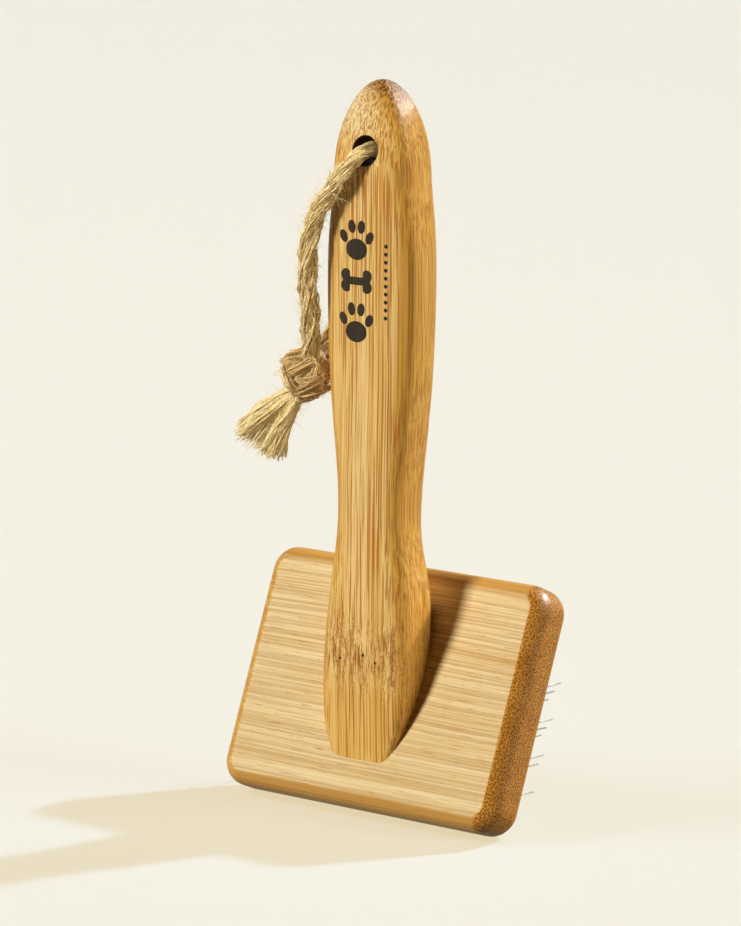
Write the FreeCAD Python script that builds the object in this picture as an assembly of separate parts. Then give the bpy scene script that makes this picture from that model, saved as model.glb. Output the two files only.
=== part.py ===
"""Slicker brush with a bamboo head board, a bamboo handle and a jute hanging loop.

Every solid is in millimetres. +Z is up, X runs along the head's width and +Y points from
the back of the brush, where the handle is, to the side with the wire pins. The brush leans
back on the lower edge of its head and on the tips of its lowest pins, and the origin is
on the surface that it stands on, under the middle of the object without its cord.
"""
import FreeCAD, Part
import math
import os

Vector = FreeCAD.Vector
os.makedirs("parts", exist_ok=True)

# Shared constants
FULL_TURN = 360
NEARLY_PARALLEL = 0.99  # cosine above which an edge counts as running along an axis
SAME_PLACE = 1e-6

# Stance
HEAD_LEAN = 24.2        # degrees between the head board and the vertical
FOOTPRINT_Y = 26.9      # from the foot of the head's back plane to the middle of the object
HEAD_LIFT = 4.36        # height of the foot of the head's back plane

# Head board
HEAD_WIDTH = 90.0
HEAD_HEIGHT = 67.1
HEAD_THICK = 13.7
HEAD_CORNER_R = 7.0
BACK_EDGE_R = 4.4       # rounding of the edges on the handle's side
FRONT_EDGE_R = 3.9      # rounding of the edges on the pins' side

# Pad that the pins stand in
PAD_MARGIN = 4.6        # from the board's outline to the pad's
PAD_CORNER_R = 12.0
CUSHION_THICK = 2.6
CLOTH_THICK = 1.0
FACING_THICK = 0.9
FACING_INSET = 0.5      # the facing stops this far inside the cloth's edge

# Pins: bent wire staples, whose two legs are two pins
WIRE_D = 0.4
PIN_ROWS = 23
ROW_PITCH = 2.483
PIN_PITCH = 4.3         # between the legs of a staple and between neighbouring staples
STAPLES_PER_ROW = 9
PINS_SHIFT = -0.6       # the pins stand this far off the pad's middle, along X
SHORT_ROWS = (3, 5, 6, 9, 13, 17, 18, 19, 20, 21)   # from 1 at the bottom: no last staple at +X
STAGGER_ROWS = 4        # the pattern repeats after this many rows
PIN_TIP_DEPTH = 29.0    # from the board's back plane to the tips
KNEE_DEPTH = 23.0       # from the board's back plane to the bend in each pin
KNEE_TURN = 19.0        # degrees that the outer half of each pin leans towards the handle
PIN_EDGE_MARGIN = 1.6   # from the pad's outline to the nearest pins

# Handle: a superellipse section |x/a|^n + |y/b|^n = 1 that changes along the height, with
# one exponent for its front half and one for its rear half. The front is nearly flat.
GRIP_THICK = 17.0
GRIP_FRONT_Y = 4.95     # the front face, measured from the foot of the head's back plane
GRIP_FRONT_SLOPE = 0.0105
GRIP_STATIONS = [       # height, middle x, half width, thickness, front n, rear n
    (10.0, -1.0, 7.4, 17.0, 8.0, 5.0),
    (16.0, -1.0, 9.6, 17.0, 8.0, 5.0),
    (20.5, -1.0, 11.2, 17.0, 8.0, 5.0),
    (25.0, -0.9, 12.4, 17.0, 8.0, 5.0),
    (31.0, -0.6, 13.3, 17.0, 7.0, 5.0),
    (38.0, -0.4, 13.7, 17.0, 6.5, 5.0),
    (47.0, -0.3, 13.4, 17.0, 6.0, 4.5),
    (58.0, 0.1, 12.9, 17.1, 5.0, 4.2),
    (67.0, 0.1, 11.8, 16.6, 4.3, 4.0),
    (75.0, 0.0, 10.6, 16.0, 4.0, 4.0),
    (83.5, 0.0, 10.1, 16.4, 4.0, 4.0),
    (94.0, 0.0, 10.7, 16.9, 4.0, 4.0),
    (104.7, 0.0, 11.9, 17.0, 4.0, 4.0),
    (115.0, 0.0, 13.0, 17.0, 4.0, 4.0),
    (128.0, 0.0, 13.8, 17.0, 4.0, 4.0),
    (143.0, 0.0, 14.2, 17.0, 4.0, 4.0),
    (158.0, 0.0, 13.7, 17.0, 4.0, 4.0),
]
DOME_START = 171.0
DOME_HEIGHT = 26.2
DOME_HALF_WIDTH = 12.25
DOME_EXPONENT = 4.0
DOME_ANGLES = (0, 14, 28, 42, 55, 66, 75, 82, 86.5)
SECTION_POINTS = 48

# Screws that hold the handle's foot to the board
SCREW_D = 3.5
SCREW_LENGTH = 22.0
SCREW_HEAD_D = 7.0
SCREW_POINT = 4.0       # length of the tapered tip
SCREW_HEIGHTS = (36.0, 48.0)    # up the board, from its lower edge
DRIVE_WIDTH = 0.9
DRIVE_SPAN = 3.6
DRIVE_DEPTH = 1.5

# Hanging hole and loop
HOLE_D = 8.0
HOLE_HEIGHT = 179.3
CORD_D = 5.2
HOLE_MIDDLE = (0.0, 15.4, HOLE_HEIGHT)
# Routes are measured from the foot of the head's back plane, like the handle's sections.
FRONT_LEG = [
    HOLE_MIDDLE,
    (0.0, 4.4, 179.3),
    (-2.8, 2.0, 174.8),
    (-7.6, 2.0, 169.0),
    (-12.8, 2.4, 161.8),
    (-15.4, 3.0, 152.6),
    (-16.2, 4.0, 141.0),
    (-16.8, 6.6, 131.0),
    (-20.4, 10.6, 122.4),
]
BACK_LEG = [
    HOLE_MIDDLE,
    (0.0, 25.2, 179.3),
    (-1.4, 28.4, 175.6),
    (-4.0, 28.9, 168.2),
    (-7.4, 28.6, 158.2),
    (-11.6, 27.6, 147.6),
    (-16.2, 25.0, 137.4),
    (-20.2, 20.2, 129.2),
    (-22.2, 14.6, 122.2),
]
KNOT_MIDDLE = (-22.4, 12.0, 117.5)
KNOT_RADII = (7.2, 6.8, 7.9)
OUTER_TAIL = [
    (-27.0, 11.4, 112.2),
    (-31.6, 10.2, 108.6),
    (-36.4, 9.6, 103.6),
    (-41.0, 9.4, 97.6),
]
INNER_TAIL = [
    (-25.6, 11.6, 110.6),
    (-28.2, 10.8, 105.0),
    (-31.4, 10.4, 99.4),
    (-33.6, 10.4, 93.2),
]
CORD_ARC_SHARE = 0.45   # part of the shorter run that a bend may use


def stand(shape):
    """Move a shape from the foot of the head's back plane to the row's origin."""
    return shape.translated(Vector(0, -FOOTPRINT_Y, 0))


def lean(shape):
    """Turn a shape from the board's own axes (X, depth, height up the board) to upright."""
    tilt = FreeCAD.Rotation(Vector(1, 0, 0), -HEAD_LEAN)
    turned = shape.copy()
    turned.Placement = FreeCAD.Placement(Vector(0, 0, HEAD_LIFT), tilt).multiply(shape.Placement)
    return turned


def rounded_plate(width, height, thick, corner_r, depth, middle_height):
    """A plate across the depth axis with rounded corners, in the board's own axes."""
    low = Vector(-width / 2, depth, middle_height - height / 2)
    plate = Part.makeBox(width, thick, height, low)
    corners = [e for e in plate.Edges if abs(e.tangentAt(0).y) > NEARLY_PARALLEL]
    return plate.makeFillet(corner_r, corners)


def rim(shape, depth):
    """The edges of a plate that lie wholly at one depth."""
    return [e for e in shape.Edges if all(abs(v.Y - depth) < SAME_PLACE for v in e.Vertexes)]


def pad_size():
    return HEAD_WIDTH - 2 * PAD_MARGIN, HEAD_HEIGHT - 2 * PAD_MARGIN


def screw_body():
    """A countersunk screw along -Y with its head's face at Y = 0, without its drive."""
    radius = SCREW_D / 2
    head_radius = SCREW_HEAD_D / 2
    head_depth = head_radius - radius
    profile = [
        Vector(0, 0, 0),
        Vector(head_radius, 0, 0),
        Vector(radius, -head_depth, 0),
        Vector(radius, SCREW_POINT - SCREW_LENGTH, 0),
        Vector(0, -SCREW_LENGTH, 0),
        Vector(0, 0, 0),
    ]
    face = Part.Face(Part.makePolygon(profile))
    return face.revolve(Vector(0, 0, 0), Vector(0, 1, 0), FULL_TURN)


def screw_places():
    return [Vector(0, HEAD_THICK, height) for height in SCREW_HEIGHTS]


def make_screws():
    across = Part.makeBox(DRIVE_SPAN, DRIVE_DEPTH, DRIVE_WIDTH)
    across.translate(Vector(-DRIVE_SPAN / 2, -DRIVE_DEPTH, -DRIVE_WIDTH / 2))
    upright = Part.makeBox(DRIVE_WIDTH, DRIVE_DEPTH, DRIVE_SPAN)
    upright.translate(Vector(-DRIVE_WIDTH / 2, -DRIVE_DEPTH, -DRIVE_SPAN / 2))
    screw = screw_body().cut(across.fuse(upright))
    return Part.makeCompound([lean(screw.translated(p)) for p in screw_places()])


def make_board():
    board = rounded_plate(
        HEAD_WIDTH, HEAD_HEIGHT, HEAD_THICK, HEAD_CORNER_R, 0, HEAD_HEIGHT / 2
    )
    board = board.makeFillet(BACK_EDGE_R, rim(board, 0))
    board = board.makeFillet(FRONT_EDGE_R, rim(board, HEAD_THICK))
    for place in screw_places():
        board = board.cut(screw_body().translated(place))
    return lean(board)


def section_wire(middle, half_width, half_thick, front_exponent, rear_exponent):
    """One closed superellipse section of the handle, level with the floor."""
    points = []
    for step in range(SECTION_POINTS):
        angle = 2 * math.pi * step / SECTION_POINTS
        exponent = rear_exponent if math.sin(angle) > 0 else front_exponent
        across = abs(math.cos(angle) / half_width) ** exponent
        through = abs(math.sin(angle) / half_thick) ** exponent
        radius = (across + through) ** (-1 / exponent)
        points.append(middle + Vector(radius * math.cos(angle), radius * math.sin(angle), 0))
    curve = Part.BSplineCurve()
    curve.interpolate(points, PeriodicFlag=True)
    return Part.Wire(curve.toShape())


def grip_middle(height, middle_x, thick):
    """The middle of the handle's section, whose front face leans back a little."""
    return Vector(middle_x, GRIP_FRONT_Y + GRIP_FRONT_SLOPE * height + thick / 2, height)


def make_handle():
    wires = []
    for height, middle_x, half_width, thick, front_n, rear_n in GRIP_STATIONS:
        middle = grip_middle(height, middle_x, thick)
        wires.append(section_wire(middle, half_width, thick / 2, front_n, rear_n))
    for degrees in DOME_ANGLES:
        angle = math.radians(degrees)
        middle = grip_middle(DOME_START + DOME_HEIGHT * math.sin(angle), 0, GRIP_THICK)
        half_width = DOME_HALF_WIDTH * math.cos(angle)
        half_thick = GRIP_THICK / 2 * math.cos(angle)
        wires.append(section_wire(middle, half_width, half_thick, DOME_EXPONENT, DOME_EXPONENT))
    handle = Part.makeLoft(wires, True, False)
    behind = Part.makeBox(HEAD_WIDTH, HEAD_WIDTH, 2 * HEAD_WIDTH)
    behind.translate(Vector(-HEAD_WIDTH / 2, 0, -HEAD_WIDTH / 2))
    handle = handle.cut(lean(behind))
    for place in screw_places():
        handle = handle.cut(lean(screw_body().translated(place)))
    hole = Part.makeCylinder(
        HOLE_D / 2, HEAD_WIDTH, Vector(0, 0, HOLE_HEIGHT), Vector(0, 1, 0)
    )
    return handle.cut(hole)


def pad_layer(thick, depth, inset=0.0):
    width, height = pad_size()
    return lean(
        rounded_plate(
            width - 2 * inset,
            height - 2 * inset,
            thick,
            PAD_CORNER_R - inset,
            depth,
            HEAD_HEIGHT / 2,
        )
    )


def make_staple():
    """One wire staple: its crown on the X axis at the cloth's back, two bent legs outwards."""
    crown = HEAD_THICK + CUSHION_THICK - WIRE_D / 2
    rise = (PIN_TIP_DEPTH - KNEE_DEPTH) * math.tan(math.radians(KNEE_TURN))
    half = PIN_PITCH / 2
    route = [
        Vector(-half, PIN_TIP_DEPTH, rise),
        Vector(-half, KNEE_DEPTH, 0),
        Vector(-half, crown, 0),
        Vector(half, crown, 0),
        Vector(half, KNEE_DEPTH, 0),
        Vector(half, PIN_TIP_DEPTH, rise),
    ]
    spine = Part.makePolygon(route)
    start = Part.Wire(Part.makeCircle(WIRE_D / 2, route[0], route[1] - route[0]))
    sweep = Part.BRepOffsetAPI.MakePipeShell(spine)
    sweep.setTransitionMode(1)
    sweep.add(start)
    sweep.build()
    sweep.makeSolid()
    return sweep.shape()


def row_half_length(height):
    """How far from the middle a pin may stand in a row at this height up the board."""
    width, tall = pad_size()
    corner = PAD_CORNER_R - PIN_EDGE_MARGIN
    half_width = width / 2 - PIN_EDGE_MARGIN
    into_corner = abs(height - HEAD_HEIGHT / 2) - (tall / 2 - PAD_CORNER_R)
    if into_corner <= 0:
        return half_width
    return half_width - corner + math.sqrt(max(corner**2 - into_corner**2, 0))


def make_pin_row(index, staple):
    height = HEAD_HEIGHT / 2 + (index - (PIN_ROWS - 1) / 2) * ROW_PITCH
    stagger = (index % STAGGER_ROWS - (STAGGER_ROWS - 1) / 2) * PIN_PITCH / STAGGER_ROWS
    staples = []
    for number in range(STAPLES_PER_ROW):
        x = (number - (STAPLES_PER_ROW - 1) / 2) * 2 * PIN_PITCH + stagger + PINS_SHIFT
        if abs(x) + PIN_PITCH / 2 <= row_half_length(height):
            staples.append(lean(staple.translated(Vector(x, 0, height))))
    if index + 1 in SHORT_ROWS:
        staples.pop()
    return Part.makeCompound(staples)


def cord_tube(name, route):
    """A round tube along straight runs that are joined by tangent arcs."""
    points = [Vector(*p) for p in route]
    edges = []
    radii = []
    here = points[0]
    for before, corner, after in zip(points, points[1:], points[2:]):
        run_in = corner - before
        run_out = after - corner
        turn = run_in.getAngle(run_out)
        setback = CORD_ARC_SHARE * min(run_in.Length, run_out.Length)
        radius = setback / math.tan(turn / 2)
        radii.append(round(radius, 1))
        into = Vector(run_in).normalize()
        out = Vector(run_out).normalize()
        start = corner - into * setback
        end = corner + out * setback
        inward = (out - into).normalize()
        sagitta = radius / math.cos(turn / 2) - radius
        edges.append(Part.LineSegment(here, start).toShape())
        edges.append(Part.Arc(start, corner + inward * sagitta, end).toShape())
        here = end
    edges.append(Part.LineSegment(here, points[-1]).toShape())
    path = Part.Wire(edges)
    section = Part.Wire(Part.makeCircle(CORD_D / 2, points[0], points[1] - points[0]))
    tube = path.makePipeShell([section], True, False)
    ratio = tube.Volume / (math.pi * CORD_D**2 / 4 * path.Length)
    print(f"{name}: length {path.Length:.1f}, bend radii {radii}")
    print(f"{name}: volume over section times length {ratio:.4f}")
    return tube


def make_knot():
    ball = Part.makeSphere(1.0)
    stretch = FreeCAD.Matrix()
    stretch.scale(*KNOT_RADII)
    return ball.transformGeometry(stretch).translated(Vector(*KNOT_MIDDLE))


def build():
    cushion_front = HEAD_THICK + CUSHION_THICK
    cloth_front = cushion_front + CLOTH_THICK
    knot = make_knot()
    nodes = {
        "head_board": make_board(),
        "handle": make_handle(),
        "handle_screws": make_screws(),
        "pad_cushion": pad_layer(CUSHION_THICK, HEAD_THICK),
        "pin_cloth": pad_layer(CLOTH_THICK, cushion_front),
        "pad_facing": pad_layer(FACING_THICK, cloth_front, FACING_INSET),
        "loop_knot": knot,
        "loop_front_leg": cord_tube("front leg", FRONT_LEG).cut(knot),
        "loop_back_leg": cord_tube("back leg", BACK_LEG).cut(knot),
        "loop_outer_tail": cord_tube("outer tail", OUTER_TAIL).cut(knot),
        "loop_inner_tail": cord_tube("inner tail", INNER_TAIL).cut(knot),
    }
    staple = make_staple()
    for index in range(PIN_ROWS):
        nodes[f"pin_row_{index + 1:02d}"] = make_pin_row(index, staple)
    return nodes


for node_name, node_shape in build().items():
    placed = stand(node_shape)
    placed.exportStep(f"parts/{node_name}.step")
    box = placed.BoundBox
    print(
        f"{node_name}: {len(placed.Solids)} solids, valid {placed.isValid()}, "
        f"X {box.XMin:.1f}..{box.XMax:.1f} Y {box.YMin:.1f}..{box.YMax:.1f} "
        f"Z {box.ZMin:.2f}..{box.ZMax:.1f}"
    )
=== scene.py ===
"""Looks of the bamboo slicker brush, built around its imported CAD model.

Every length is in metres. Design coordinates are measured like the CAD source's: X = 0 is the
plane of symmetry, Y = 0 is the foot of the head's back plane, and Z = 0 is the floor.
stand() moves them to the row frame. Shader coordinates are in millimetres.
"""

import math
import random

import bmesh
import bpy
import numpy as np
from mathutils import Matrix, Vector


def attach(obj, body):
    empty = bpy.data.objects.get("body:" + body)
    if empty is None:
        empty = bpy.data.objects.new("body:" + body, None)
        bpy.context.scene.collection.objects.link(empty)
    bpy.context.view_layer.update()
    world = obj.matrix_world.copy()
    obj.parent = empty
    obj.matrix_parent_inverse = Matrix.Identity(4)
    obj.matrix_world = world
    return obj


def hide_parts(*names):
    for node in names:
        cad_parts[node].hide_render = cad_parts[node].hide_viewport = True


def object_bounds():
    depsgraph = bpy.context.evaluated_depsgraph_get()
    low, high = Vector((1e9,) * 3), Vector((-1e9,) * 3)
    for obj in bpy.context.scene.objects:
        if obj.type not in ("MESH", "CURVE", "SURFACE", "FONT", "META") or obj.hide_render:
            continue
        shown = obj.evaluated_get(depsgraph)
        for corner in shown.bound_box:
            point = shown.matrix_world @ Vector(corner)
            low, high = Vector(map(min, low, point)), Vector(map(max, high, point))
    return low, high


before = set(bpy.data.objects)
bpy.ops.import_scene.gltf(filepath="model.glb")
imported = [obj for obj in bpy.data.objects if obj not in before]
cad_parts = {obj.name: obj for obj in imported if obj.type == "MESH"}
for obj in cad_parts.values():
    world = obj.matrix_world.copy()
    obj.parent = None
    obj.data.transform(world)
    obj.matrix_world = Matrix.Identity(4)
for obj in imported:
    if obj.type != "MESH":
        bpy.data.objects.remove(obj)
cad_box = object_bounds()

MM = 0.001
FULL_TURN = 2 * math.pi

# Stance and head board
HEAD_LEAN = math.radians(24.2)
FOOTPRINT_Y = 0.0269
HEAD_LIFT = 0.00436
HEAD_WIDTH = 0.0900
HEAD_HEIGHT = 0.0671
HEAD_THICK = 0.0137
HEAD_CORNER_R = 0.0070
BACK_EDGE_R = 0.0044
FRONT_EDGE_R = 0.0039

# Pad and pins
PAD_MARGIN = 0.0046
PAD_CORNER_R = 0.0120
CUSHION_THICK = 0.0026
CLOTH_THICK = 0.0010
FACING_THICK = 0.0009
FACING_INSET = 0.0005
WIRE_R = 0.0002
PIN_ROWS = 23
ROW_PITCH = 0.002483
PIN_PITCH = 0.0043
STAPLES_PER_ROW = 9
PINS_SHIFT = -0.0006
SHORT_ROWS = (3, 5, 6, 9, 13, 17, 18, 19, 20, 21)   # from 1 at the bottom: no last staple at +X
STAGGER_ROWS = 4
PIN_TIP_DEPTH = 0.0290
KNEE_DEPTH = 0.0230
KNEE_TURN = math.radians(19.0)
PIN_EDGE_MARGIN = 0.0016

# Handle
GRIP_THICK = 0.0170
GRIP_FRONT_Y = 0.00495
GRIP_FRONT_SLOPE = 0.0105
GRIP_STATIONS = [       # height, middle x, half width, thickness (in mm), front and rear exponents
    (10.0, -1.0, 7.4, 17.0, 8.0, 5.0),
    (16.0, -1.0, 9.6, 17.0, 8.0, 5.0),
    (20.5, -1.0, 11.2, 17.0, 8.0, 5.0),
    (25.0, -0.9, 12.4, 17.0, 8.0, 5.0),
    (31.0, -0.6, 13.3, 17.0, 7.0, 5.0),
    (38.0, -0.4, 13.7, 17.0, 6.5, 5.0),
    (47.0, -0.3, 13.4, 17.0, 6.0, 4.5),
    (58.0, 0.1, 12.9, 17.1, 5.0, 4.2),
    (67.0, 0.1, 11.8, 16.6, 4.3, 4.0),
    (75.0, 0.0, 10.6, 16.0, 4.0, 4.0),
    (83.5, 0.0, 10.1, 16.4, 4.0, 4.0),
    (94.0, 0.0, 10.7, 16.9, 4.0, 4.0),
    (104.7, 0.0, 11.9, 17.0, 4.0, 4.0),
    (115.0, 0.0, 13.0, 17.0, 4.0, 4.0),
    (128.0, 0.0, 13.8, 17.0, 4.0, 4.0),
    (143.0, 0.0, 14.2, 17.0, 4.0, 4.0),
    (158.0, 0.0, 13.7, 17.0, 4.0, 4.0),
]
DOME_START = 0.1710
DOME_HEIGHT = 0.0262
DOME_HALF_WIDTH = 0.01225
DOME_EXPONENT = 4.0
DOME_TOP_EXPONENT = 3.0
DOME_ROUNDS_FROM = 0.36     # share of the dome's height, above the hole
DOME_TOP_ANGLE = math.radians(86.5)
HOLE_R = 0.0040
HOLE_HEIGHT = 0.1793

# Cord
CORD_D = 0.0052
HOLE_MIDDLE = (0.0, 0.0154, 0.1793)
FRONT_LEG = [
    HOLE_MIDDLE,
    (0.0, 0.0048, 0.1793),
    (-0.0040, 0.0038, 0.1744),
    (-0.0088, 0.0038, 0.1686),
    (-0.0138, 0.0038, 0.1614),
    (-0.0159, 0.0036, 0.1524),
    (-0.0162, 0.0040, 0.1410),
    (-0.0168, 0.0066, 0.1310),
    (-0.0204, 0.0106, 0.1224),
]
BACK_LEG = [
    HOLE_MIDDLE,
    (0.0, 0.0252, 0.1793),
    (-0.0014, 0.0284, 0.1756),
    (-0.0040, 0.0289, 0.1682),
    (-0.0074, 0.0286, 0.1582),
    (-0.0116, 0.0276, 0.1476),
    (-0.0162, 0.0250, 0.1374),
    (-0.0192, 0.0206, 0.1286),
    (-0.0207, 0.0158, 0.1222),
]
OUTER_TAIL = [
    (-0.0270, 0.0114, 0.1122),
    (-0.0316, 0.0102, 0.1086),
    (-0.0364, 0.0096, 0.1036),
    (-0.0410, 0.0094, 0.0976),
]
INNER_TAIL = [
    (-0.0256, 0.0116, 0.1106),
    (-0.0282, 0.0108, 0.1050),
    (-0.0314, 0.0104, 0.0994),
    (-0.0336, 0.0104, 0.0932),
]
KNOT_MIDDLE = (-0.0224, 0.0120, 0.1175)


# ---------------------------------------------------------------- places and small helpers

def stand(point):
    """A design point in the row frame."""
    x, y, z = point
    return Vector((x, y - FOOTPRINT_Y, z))


def lean(point):
    """A point in the board's axes (X, depth, height up the board) in design coordinates."""
    x, depth, height = point
    y = depth * math.cos(HEAD_LEAN) + height * math.sin(HEAD_LEAN)
    z = height * math.cos(HEAD_LEAN) - depth * math.sin(HEAD_LEAN)
    return Vector((x, y, z + HEAD_LIFT))


def clamp(value, low=0.0, high=1.0):
    return min(max(value, low), high)


def make_object(name, mesh):
    piece = bpy.data.objects.new(name, mesh)
    bpy.context.scene.collection.objects.link(piece)
    return piece


def mesh_object(name, points, faces):
    mesh = bpy.data.meshes.new(name)
    mesh.from_pydata([tuple(p) for p in points], [], faces)
    mesh.update()
    return make_object(name, mesh)


def finish_piece(piece, material, body, slot, *nodes):
    """Give a piece its material and its body, and hide the CAD nodes that it stands for. The slot is not
    used.
    """
    piece.data.materials.clear()
    piece.data.materials.append(material)
    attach(piece, body)
    if nodes:
        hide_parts(*nodes)
    return piece


def shade_smooth(mesh, sharp_angle=math.radians(180)):
    mesh.shade_smooth()
    if sharp_angle < math.pi:
        mesh.set_sharp_from_angle(angle=sharp_angle)


# ---------------------------------------------------------------- shader helpers

class Value:
    """A number, colour or vector in a node tree. Arithmetic on it adds math nodes."""

    def __init__(self, tree, socket):
        self.tree = tree
        self.socket = socket

    def __add__(self, other):
        return self.tree.math("ADD", self, other)

    def __sub__(self, other):
        return self.tree.math("SUBTRACT", self, other)

    def __rsub__(self, other):
        return self.tree.math("SUBTRACT", other, self)

    def __mul__(self, other):
        return self.tree.math("MULTIPLY", self, other)

    def __abs__(self):
        return self.tree.math("ABSOLUTE", self)


class Tree:
    """Adds nodes to a node tree. What a node puts out is passed on as a Value."""

    def __init__(self, node_tree):
        self.nodes = node_tree.nodes
        self.links = node_tree.links

    def feed(self, socket, value):
        if isinstance(value, Value):
            self.links.new(value.socket, socket)
        elif value is not None:
            socket.default_value = value

    def node(self, kind, output=0, inputs=None, **settings):
        """One output of a new node with these settings and inputs."""
        node = self.nodes.new("ShaderNode" + kind)
        for name, value in settings.items():
            setattr(node, name, value)
        for name, value in (inputs or {}).items():
            self.feed(node.inputs[name], value)
        return Value(self, node.outputs[output])

    def split(self, vector):
        node = self.nodes.new("ShaderNodeSeparateXYZ")
        self.feed(node.inputs[0], vector)
        return [Value(self, socket) for socket in node.outputs]

    def math(self, operation, *values):
        return self.node("Math", inputs=dict(enumerate(values)), operation=operation)


class Shader(Tree):
    """Builds one node material."""

    def __init__(self, name):
        self.material = bpy.data.materials.new(name)
        self.material.use_nodes = True
        super().__init__(self.material.node_tree)
        self.surface = self.nodes["Principled BSDF"]

    def set(self, **values):
        for name, value in values.items():
            self.feed(self.surface.inputs[name.replace("_", " ")], value)

    def place(self, offset=(0, 0, 0), turn=(0, 0, 0)):
        """Object coordinates in millimetres, measured from an offset and turned."""
        inputs = {
            "Vector": self.node("TexCoord", "Object"),
            "Location": offset, "Rotation": turn, "Scale": (MM, MM, MM),
        }
        return self.node("Mapping", inputs=inputs, vector_type="TEXTURE")

    def normal(self):
        return self.node("TexCoord", "Normal")

    def join(self, *parts):
        return self.node("CombineXYZ", inputs=dict(enumerate(parts)))

    def times(self, vector, scales):
        return self.node("VectorMath", inputs={0: vector, 1: scales}, operation="MULTIPLY")

    def dot(self, first, second):
        return self.node("VectorMath", "Value", {0: first, 1: second}, operation="DOT_PRODUCT")

    def noise(self, vector, scales, detail=2.0, roughness=0.5):
        inputs = {
            "Vector": self.times(vector, scales),
            "Scale": 1.0, "Detail": detail, "Roughness": roughness,
        }
        return self.node("TexNoise", "Fac", inputs)

    def cells(self, vector, scales, dimensions="3D"):
        """Distance from the nearest of many scattered points."""
        inputs = {"Vector": self.times(vector, scales), "Scale": 1.0}
        return self.node("TexVoronoi", "Distance", inputs, voronoi_dimensions=dimensions)

    def blend(self, factor, first, second):
        """A number between two numbers."""
        return factor * (second - first) + first

    def step(self, value, low, high, to_low=0.0, to_high=1.0):
        """A smooth step from to_low at low to to_high at high."""
        inputs = {"Value": value, "From Min": low, "From Max": high, "To Min": to_low, "To Max": to_high}
        return self.node("MapRange", "Result", inputs, interpolation_type="SMOOTHSTEP")

    def ramp(self, factor, *stops):
        """A colour ramp through (position, (r, g, b)) stops."""
        colour = self.node("ValToRGB", "Color", {"Fac": factor})
        elements = colour.socket.node.color_ramp.elements
        while len(elements) < len(stops):
            elements.new(0.5)
        for element, (position, tint) in zip(elements, stops):
            element.position = position
            element.color = (*tint, 1.0)
        return colour

    def mix(self, factor, *colours):
        """A colour between two colours."""
        first, second = ((*c, 1.0) if isinstance(c, tuple) else c for c in colours)
        return self.node("Mix", 2, {"Factor": factor, 6: first, 7: second}, data_type="RGBA")

    def attribute(self, name):
        return self.node("Attribute", "Fac", attribute_name=name)

    def finish(self, tone, roughness, relief, strength, depth, **constants):
        """Sets the surface, with a relief this many mm deep, and gives the material."""
        self.set(Base_Color=tone, Roughness=roughness, **constants)
        inputs = {"Strength": strength, "Distance": depth * MM, "Height": relief}
        bumped = self.node("Bump", "Normal", inputs)
        self.set(Normal=bumped, Coat_Normal=bumped)
        return self.material


# ---------------------------------------------------------------- materials

def bamboo_grain(shader, across, through, along, bundles_per_mm):
    """Fibre patterns of bamboo whose fibres run along one axis, from coordinates in mm."""
    place = shader.join(across, through, along)
    broad = shader.noise(place, (0.22, 0.22, 0.004), 2.0)
    streak = shader.noise(place, (1.1, 1.1, 0.010), 3.0, 0.6)
    fine = shader.noise(place, (4.2, 4.2, 0.030), 2.0, 0.6)
    # A vascular bundle is a thin rod along the grain: a line where the surface runs along
    # it, a dash where the surface cuts it at a slant and a dot on the end grain.
    bundle = shader.cells(place, (bundles_per_mm, bundles_per_mm, 0.0), "2D")
    return broad, streak, fine, bundle


NODE_HEIGHT = 44.5      # of the culm's node on the handle, in mm
NODE_REACH = 7.5
NODE_PITS = ((-6.9, 42.8), (0.6, 44.7), (4.5, 43.1))    # x and height in mm
NODE_PIT_R = 0.42


def node_pits(shader, x, z):
    """1 in the few small pits of the node, on the handle's front, whose dark colour is painted shade."""
    nearest = NODE_REACH
    for pit_x, pit_z in NODE_PITS:
        side = x - pit_x
        rise = z - pit_z
        squares = side * side + rise * rise
        nearest = shader.math("MINIMUM", nearest, shader.math("SQRT", squares))
    return shader.step(nearest, NODE_PIT_R * 1.3, NODE_PIT_R * 0.6)


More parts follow.
